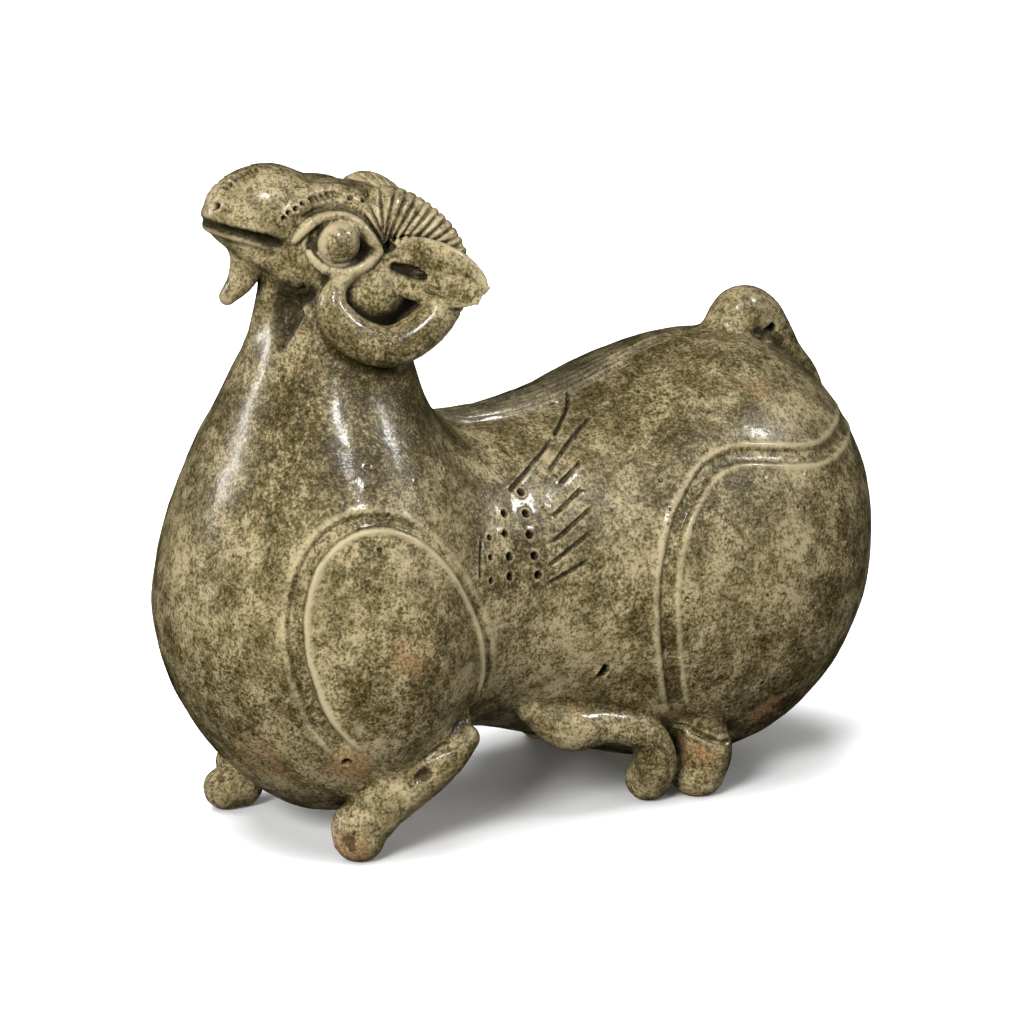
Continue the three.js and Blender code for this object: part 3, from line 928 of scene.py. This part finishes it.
def refine_marks(obj):
    """Cuts the faces finer where the small marks will be carved."""
    bpy.ops.object.mode_set(mode="EDIT")
    bpy.ops.mesh.select_mode(type="FACE")
    bpy.ops.mesh.select_all(action="DESELECT")
    bpy.ops.object.mode_set(mode="OBJECT")
    flat = np.empty(len(obj.data.polygons) * 3)
    obj.data.polygons.foreach_get("center", flat)
    p = flat.reshape(-1, 3) * 1000 + (middle_x, 0, 0)
    obj.data.polygons.foreach_set("select", np.abs(marks_relief(p)) > 0.02)
    bpy.ops.object.mode_set(mode="EDIT")
    bpy.ops.mesh.subdivide(number_cuts=1, quadcorner="INNERVERT")
    bpy.ops.object.mode_set(mode="OBJECT")


def build_ram():
    """Makes the finished skin from a copy of the solid."""
    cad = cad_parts["ram_figure"]
    bpy.ops.object.select_all(action="DESELECT")
    cad.select_set(True)
    bpy.context.view_layer.objects.active = cad
    bpy.ops.object.duplicate()
    ram = bpy.context.view_layer.objects.active
    ram.name = "ram_glazed"
    bpy.ops.object.mode_set(mode="EDIT")
    bpy.ops.mesh.select_all(action="SELECT")
    bpy.ops.mesh.remove_doubles(threshold=0.000002)
    bpy.ops.mesh.normals_make_consistent(inside=False)
    bpy.ops.object.mode_set(mode="OBJECT")
    add_rolls(ram)
    apply_modifier(ram, "REMESH", mode="VOXEL", voxel_size=rough_voxel)
    cut_openings(ram)
    apply_modifier(ram, "REMESH", mode="VOXEL", voxel_size=fine_voxel)
    settle(ram, 4)
    refine_marks(ram)
    p = read_points(ram)
    p = p + read_normals(ram) * relief(p)[:, None]
    p[:, 2] = np.maximum(p[:, 2], 0)
    write_points(ram, p)
    bpy.ops.object.mode_set(mode="EDIT")
    bpy.ops.mesh.select_all(action="SELECT")
    bpy.ops.mesh.quads_convert_to_tris()
    bpy.ops.object.mode_set(mode="OBJECT")
    apply_modifier(ram, "DECIMATE", ratio=min(1.0, triangles_wanted / len(ram.data.polygons)))
    bpy.ops.object.shade_smooth()
    return ram


# Shares between 0 and 1 that the glaze colour follows, painted shade and painted light among them, kept on
# every point of the skin

def hollows_and_crests(p):
    """Where the glaze pools, and where it runs thin: on ridges and the rim of the eyeball. The paleness on
    ridges is partly thin glaze and partly painted light on raised parts.
    """
    bend = np.zeros(len(p))
    reach = 1.6
    middle = figure_field(p)
    for axis in range(3):
        for sign in (-1, 1):
            moved = p.copy()
            moved[:, axis] += sign * reach
            bend += figure_field(moved) - middle
    bend /= reach * reach
    height = relief(p) - broad_waves(p)
    side = left_side(p)
    shallow = 0.85 * channel(side, shoulder_line, shoulder_half, shoulder_depth, 0, 0, 1)
    shallow += 0.5 * channel(side, haunch_line, haunch_half, haunch_depth, 0, 0, -1)
    hollow = np.clip(-bend * 1.2 - 0.08, 0, 1) + np.clip((shallow - height) * 0.9 - 0.08, 0, 1)
    crest = np.clip(bend - 0.5, 0, 1) + np.clip(height * 2.4 - 0.1, 0, 1)
    from_eye = left_side(to_head(p)) - eye_center
    eyeball = length_of(from_eye) < 4.8
    rim = soft_step(length_of(from_eye[:, ::2]) - 3.1) * eyeball * (from_eye[:, 1] < 0)
    crest = np.maximum(crest - 0.3 * eyeball, 0.7 * rim)
    return np.clip(hollow, 0, 1), np.clip(crest, 0, 1)


def shade_share(p, normals):
    """How closed in the skin is, as painted shade that darkens the colour: in gaps and creases, deep marks,
    slits and eye sockets.
    """
    room = np.zeros(len(p))
    for reach in (2.0, 4.5):
        room += np.clip(figure_field(p + normals * reach) / reach, -0.2, 1) / 2
    high = near_head(p, 98)
    cuts = np.clip(-relief(p) * np.where(high, 1.3, 0.9) - np.where(high, 0.35, 0.65), 0, 0.85)
    opened = np.zeros(len(p))
    side = left_side(to_head(p[high]))
    valley = 0.8 * soft_step((1.6 - tube(side, throat_valley)) / 1.4)
    slits = soft_step((0.8 - np.minimum(tube(side, mouth_slit), tube(side, ear_slit) + 0.2)) / 0.4)
    around_eye = soft_step((0.8 - oval(side, socket_center, (6.9, 5.0, 4.5))) / 0.4)
    socket = 0.95 * around_eye * soft_step((-head_form(side) - 0.1) / 0.6)
    opened[high] = np.maximum(np.maximum(valley, slits), socket)
    closed = np.clip((0.64 - room) / 0.5, 0, 1) * (0.45 + 0.55 * soft_step((p[:, 2] - 20) / 12))
    return np.clip(closed + cuts + opened, 0, 1)


def glaze_depth_and_painted_light(p):
    """How thick and dark the glaze lies: most along the back and round the neck, least on the horns. The
    paler head, horns and low breast are painted light, where more light falls on them.
    """
    back = soft_step((p[:, 2] - 62) / 20) * soft_step((p[:, 0] - 24) / 14) * soft_step((112 - p[:, 0]) / 24)
    neck = soft_step(1 - np.abs(p[:, 2] - 92) / 16) * soft_step((44 - p[:, 0]) / 20)
    head = soft_step((p[:, 2] - 106) / 10) * (p[:, 0] < 48)
    low = soft_step((34 - p[:, 2]) / 22) * soft_step((28 - p[:, 0]) / 20)
    horns = head * soft_step((1.6 - horn_field(left_side(to_head(p)))) / 1.2)
    neck *= 1 - horns
    return np.clip(0.5 + 0.14 * back + 0.26 * neck - 0.14 * head - 0.45 * horns - 0.16 * low, 0, 1)


# Worn or unglazed spots as x, y, z, size and strength
bare_spots = [
    (98, -19, 78, 6.5, 0.75), (105, -22, 73, 4.5, 0.6), (90, -24, 74, 4, 0.5), (3, -36, 46, 7, 0.5),
    (-18, -12, 20, 9, 0.6), (12, -25, 12, 6, 0.6), (-3, -22, 3, 5, 0.75), (80, -27, 9, 6, 0.8),
    (96, -29, 15, 6, 0.8), (50, -24, 20, 6, 0.6), (10, -29, 80, 7, 0.35), (118, -17, 64, 6, 0.4),
    (20, -18, 98, 5, 0.35), (-5, -26, 22, 5, 0.8), (24, -30, 32, 5, 0.4), (60, -31, 56, 7, 0.35),
    (40, -10, 78, 6, 0.5),
]


def bare_share(p):
    bare = np.zeros(len(p))
    for x, y, z, size, strength in bare_spots:
        near = length_of(p - (x, y, z))
        bare = np.maximum(bare, strength * soft_step(1.5 - near / size))
    bare = np.maximum(bare, 0.55 * soft_step((7 - p[:, 2]) / 6))
    return np.clip(bare + 0.12 * waves(p, 9, 4), 0, 1)


def flake_share(p):
    """Small brown scars where the glaze has flaked off."""
    flakes = np.zeros(len(p))
    spots = [
        (on_flank(100.5, 16.6), 2.6), (on_flank(98, 12.6), 2.2), (on_flank(-6.4, 22.6), 1.1),
        ((-4.9, -24.8, 5.4), 1.2), ((-4.3, -25, 3.6), 0.9), ((9.7, -29.4, 17.8), 1.5), ((-7, 19, 7.4), 1.0),
    ]
    for center, size in spots:
        near = length_of((p - center) * (0.9, 0.8, 1.0))
        flakes = np.maximum(flakes, soft_step((size - near) / 1.6 + 0.5))
    return flakes


def add_share(obj, name, values):
    attribute = obj.data.attributes.new(name, "FLOAT", "POINT")
    attribute.data.foreach_set("value", values.astype(np.float32))


def mark_glaze(obj):
    p = read_points(obj)
    hollow, crest = hollows_and_crests(p)
    add_share(obj, "hollow", hollow)
    add_share(obj, "crest", crest)
    add_share(obj, "shade", shade_share(p, read_normals(obj)))
    # Thicker glaze on the back and neck, and painted light on the head, horns and low breast
    add_share(obj, "thick", glaze_depth_and_painted_light(p))
    add_share(obj, "bare", bare_share(p))
    add_share(obj, "flake", flake_share(p))


# Glaze material

def linear(red, green, blue):
    """A screen colour from 0 to 255 as the linear colour that shaders take."""
    parts = []
    for part in (red, green, blue):
        share = part / 255
        parts.append(share / 12.92 if share < 0.04045 else ((share + 0.055) / 1.055) ** 2.4)
    return (*parts, 1.0)


class Nodes:
    """Small helpers that add and join shader nodes."""

    def __init__(self, material):
        self.tree = material.node_tree
        self.tree.nodes.clear()

    def add(self, kind, **settings):
        node = self.tree.nodes.new(kind)
        for name, value in settings.items():
            setattr(node, name, value)
        return node

    def join(self, source, target):
        self.tree.links.new(source, target)

    def put(self, socket, value):
        if isinstance(value, bpy.types.NodeSocket):
            self.join(value, socket)
        else:
            socket.default_value = value

    def noise(self, vector, scale, detail=2.0, roughness=0.5, distortion=0.0):
        node = self.add("ShaderNodeTexNoise")
        self.join(vector, node.inputs["Vector"])
        node.inputs["Scale"].default_value = scale
        node.inputs["Detail"].default_value = detail
        node.inputs["Roughness"].default_value = roughness
        node.inputs["Distortion"].default_value = distortion
        return node.outputs["Fac"]

    def math(self, operation, a, b):
        node = self.add("ShaderNodeMath", operation=operation)
        self.put(node.inputs[0], a)
        self.put(node.inputs[1], b)
        return node.outputs[0]

    def scaled(self, value, factor):
        return self.math("MULTIPLY", value, factor)

    def swing(self, value, factor):
        """How far a value is from a half, times a factor."""
        return self.scaled(self.math("SUBTRACT", value, 0.5), factor)

    def sum(self, first, *others):
        total = first
        for other in others:
            total = self.math("ADD", total, other)
        return total

    def span(self, value, low, high, new_low=0.0, new_high=1.0):
        """Goes smoothly from new_low to new_high while the value goes from low to high."""
        node = self.add("ShaderNodeMapRange", interpolation_type="SMOOTHSTEP")
        self.put(node.inputs["Value"], value)
        node.inputs["From Min"].default_value = low
        node.inputs["From Max"].default_value = high
        node.inputs["To Min"].default_value = new_low
        node.inputs["To Max"].default_value = new_high
        return node.outputs["Result"]

    def mix(self, share, a, b):
        node = self.add("ShaderNodeMix", data_type="RGBA")
        self.put(node.inputs[0], share)
        self.put(node.inputs[6], a)
        self.put(node.inputs[7], b)
        return node.outputs[2]

    def share(self, name):
        return self.add("ShaderNodeAttribute", attribute_name=name).outputs["Fac"]


def glaze_material():
    """Mottled green glaze over a paler ground, with bare clay, dark pools and brown flakes, painted shade in
    gaps and slits, and paler crests that are partly painted light.
    """
    material = bpy.data.materials.new("celadon_glaze")
    material.use_nodes = True
    n = Nodes(material)
    place = n.add("ShaderNodeTexCoord").outputs["Object"]
    hollow = n.share("hollow")
    crest = n.share("crest")
    bare = n.share("bare")
    flake = n.share("flake")
    shade = n.share("shade")
    thick = n.share("thick")

    speckle = n.noise(place, 1700, 3, 0.7, 0.3)
    blots = n.noise(place, 620, 4, 0.65, 0.3)
    patches = n.noise(place, 140, 3, 0.6)
    regions = n.noise(place, 32, 2, 0.5)
    # The thick share darkens the back and the neck as thicker glaze, and pales the head, the horns and the
    # low breast as painted light.
    mottle = n.sum(
        n.scaled(speckle, 0.6), n.scaled(blots, 0.4), n.swing(patches, 0.3), n.swing(regions, 0.24),
        n.swing(thick, 0.16), n.scaled(hollow, 0.1),
    )
    # Crests lose some mottle: partly thin glaze, partly painted light on raised parts.
    mottle = n.math("SUBTRACT", mottle, n.scaled(crest, 0.14))

    pale = n.mix(n.span(patches, 0.4, 0.6), linear(190, 174, 134), linear(164, 150, 112))
    color = n.mix(n.span(mottle, 0.38, 0.56), pale, linear(106, 95, 60))
    color = n.mix(n.span(mottle, 0.50, 0.66), color, linear(52, 45, 20))
    grains = n.noise(place, 2300, 2, 0.6)
    color = n.mix(n.scaled(n.span(grains, 0.6, 0.68), 0.5), color, linear(186, 148, 100))

    edge = n.noise(place, 420, 4, 0.65)
    bare_now = n.span(n.sum(bare, n.math("SUBTRACT", edge, 0.5)), 0.42, 0.72)
    clay = n.mix(n.span(speckle, 0.4, 0.65), linear(176, 138, 94), linear(116, 86, 54))
    color = n.mix(n.scaled(bare_now, 0.75), color, clay)
    color = n.mix(n.scaled(n.span(hollow, 0.3, 1.0), 0.5), color, linear(52, 46, 22))
    # Crests turn pale: partly thin glaze, partly painted light and painted highlights on raised parts.
    color = n.mix(n.scaled(crest, 0.5), color, linear(208, 194, 156))
    # Painted shade: gaps, creases, deep marks, slits and eye sockets darkened almost to black.
    color = n.mix(n.scaled(shade, 0.88), color, linear(26, 21, 10))
    flake_now = n.span(n.sum(flake, n.swing(edge, 2.2)), 0.4, 0.7)
    color = n.mix(n.scaled(flake_now, 0.75), color, linear(60, 42, 26))

    matt = n.math("MAXIMUM", n.scaled(bare_now, 0.9), flake_now)
    matt = n.math("MAXIMUM", matt, n.math("MAXIMUM", n.scaled(hollow, 0.5), shade))
    fine_bump = n.sum(n.scaled(n.noise(place, 900, 3, 0.6), 0.4), n.scaled(patches, 0.5))
    bump = n.add("ShaderNodeBump")
    bump.inputs["Strength"].default_value = 0.3
    bump.inputs["Distance"].default_value = 0.0003
    n.join(fine_bump, bump.inputs["Height"])

    shader = n.add("ShaderNodeBsdfPrincipled")
    n.join(color, shader.inputs["Base Color"])
    n.join(n.span(matt, 0, 1, 0.42, 0.8), shader.inputs["Roughness"])
    gloss = n.math("MULTIPLY", n.math("SUBTRACT", 1, matt), n.span(patches, 0.4, 0.62, 0.35, 0.8))
    n.join(gloss, shader.inputs["Coat Weight"])
    shader.inputs["Coat Roughness"].default_value = 0.14
    shader.inputs["Coat IOR"].default_value = 1.5
    shader.inputs["IOR"].default_value = 1.5
    shader.inputs["Specular IOR Level"].default_value = 0.4
    n.join(bump.outputs["Normal"], shader.inputs["Normal"])
    n.join(bump.outputs["Normal"], shader.inputs["Coat Normal"])
    output = n.add("ShaderNodeOutputMaterial")
    n.join(shader.outputs["BSDF"], output.inputs["Surface"])
    return material


ram = build_ram()
mark_glaze(ram)
ram.data.materials.clear()
ram.data.materials.append(glaze_material())
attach(ram, "root")
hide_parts("ram_figure")


# Studio

def plain_material(name, color, roughness):
    material = bpy.data.materials.new(name)
    material.use_nodes = True
    shader = material.node_tree.nodes["Principled BSDF"]
    shader.inputs["Base Color"].default_value = color
    shader.inputs["Roughness"].default_value = roughness
    shader.inputs["Specular IOR Level"].default_value = 0.0
    shader.inputs["Emission Color"].default_value = color
    shader.inputs["Emission Strength"].default_value = 0.02
    return material


def area_light(name, place, target, size, power, soft=True, glossy=True):
    """A flat lamp; soft is whether it lights matt skin, glossy whether it shows in the gloss."""
    data = bpy.data.lights.new(name, "AREA")
    data.shape = "RECTANGLE"
    data.size, data.size_y = size
    data.energy = power
    lamp = bpy.data.objects.new(name, data)
    scene.collection.objects.link(lamp)
    lamp.location = place
    toward = Vector(target) - Vector(place)
    lamp.rotation_euler = toward.to_track_quat("-Z", "Y").to_euler()
    lamp.visible_diffuse = soft
    lamp.visible_glossy = glossy
    return lamp


bpy.ops.object.select_all(action="DESELECT")
bpy.ops.mesh.primitive_plane_add(size=8, location=(0, 0, 0))
floor = bpy.context.active_object
floor.name = "floor"
floor.data.materials.append(plain_material("paper_white", (0.86, 0.86, 0.86, 1), 0.7))
floor.visible_glossy = False
floor.visible_diffuse = False

# A white room, brighter overhead
world = bpy.data.worlds.new("studio")
world.use_nodes = True
sky = world.node_tree
place = sky.nodes.new("ShaderNodeTexCoord")
split = sky.nodes.new("ShaderNodeSeparateXYZ")
rise = sky.nodes.new("ShaderNodeMapRange")
rise.inputs["From Min"].default_value = -0.2
rise.inputs["From Max"].default_value = 1.0
rise.inputs["To Min"].default_value = 0.16
rise.inputs["To Max"].default_value = 0.38
sky.links.new(place.outputs["Generated"], split.inputs["Vector"])
sky.links.new(split.outputs["Z"], rise.inputs["Value"])
sky.links.new(rise.outputs["Result"], sky.nodes["Background"].inputs["Strength"])
sky.nodes["Background"].inputs["Color"].default_value = (1.0, 1.0, 1.0, 1)
world.cycles_visibility.glossy = False
scene.world = world

# Wide lamps give the even light, small ones the glints in the glaze
ram_middle = (0, 0, 0.06)
area_light("key", (-1.05, -0.62, 0.72), ram_middle, (0.4, 0.4), 20.5, glossy=False)
area_light("fill", (0.55, -1.05, 0.45), ram_middle, (0.7, 0.7), 4.0, glossy=False)
area_light("back", (0.6, 1.3, 0.45), (0, 0, 0.05), (0.7, 0.7), 4.0, glossy=False)
area_light("left_glint", (-0.85, 0.65, 0.5), ram_middle, (0.16, 0.4), 3.2, soft=False)
area_light("right_glint", (0.66, -0.57, 0.82), ram_middle, (0.14, 0.2), 4.4, soft=False)
area_light("front_glint", (-0.3, -0.72, 0.92), ram_middle, (0.16, 0.16), 4.2, soft=False)
floor_lamp = area_light("floor_lamp", (-0.25, 0.15, 1.8), (0, 0, 0), (1.5, 1.5), 74.0, glossy=False)
floor_group = bpy.data.collections.new("floor_only")
floor_group.objects.link(floor)
floor_lamp.light_linking.receiver_collection = floor_group
scene.view_settings.view_transform = "Standard"
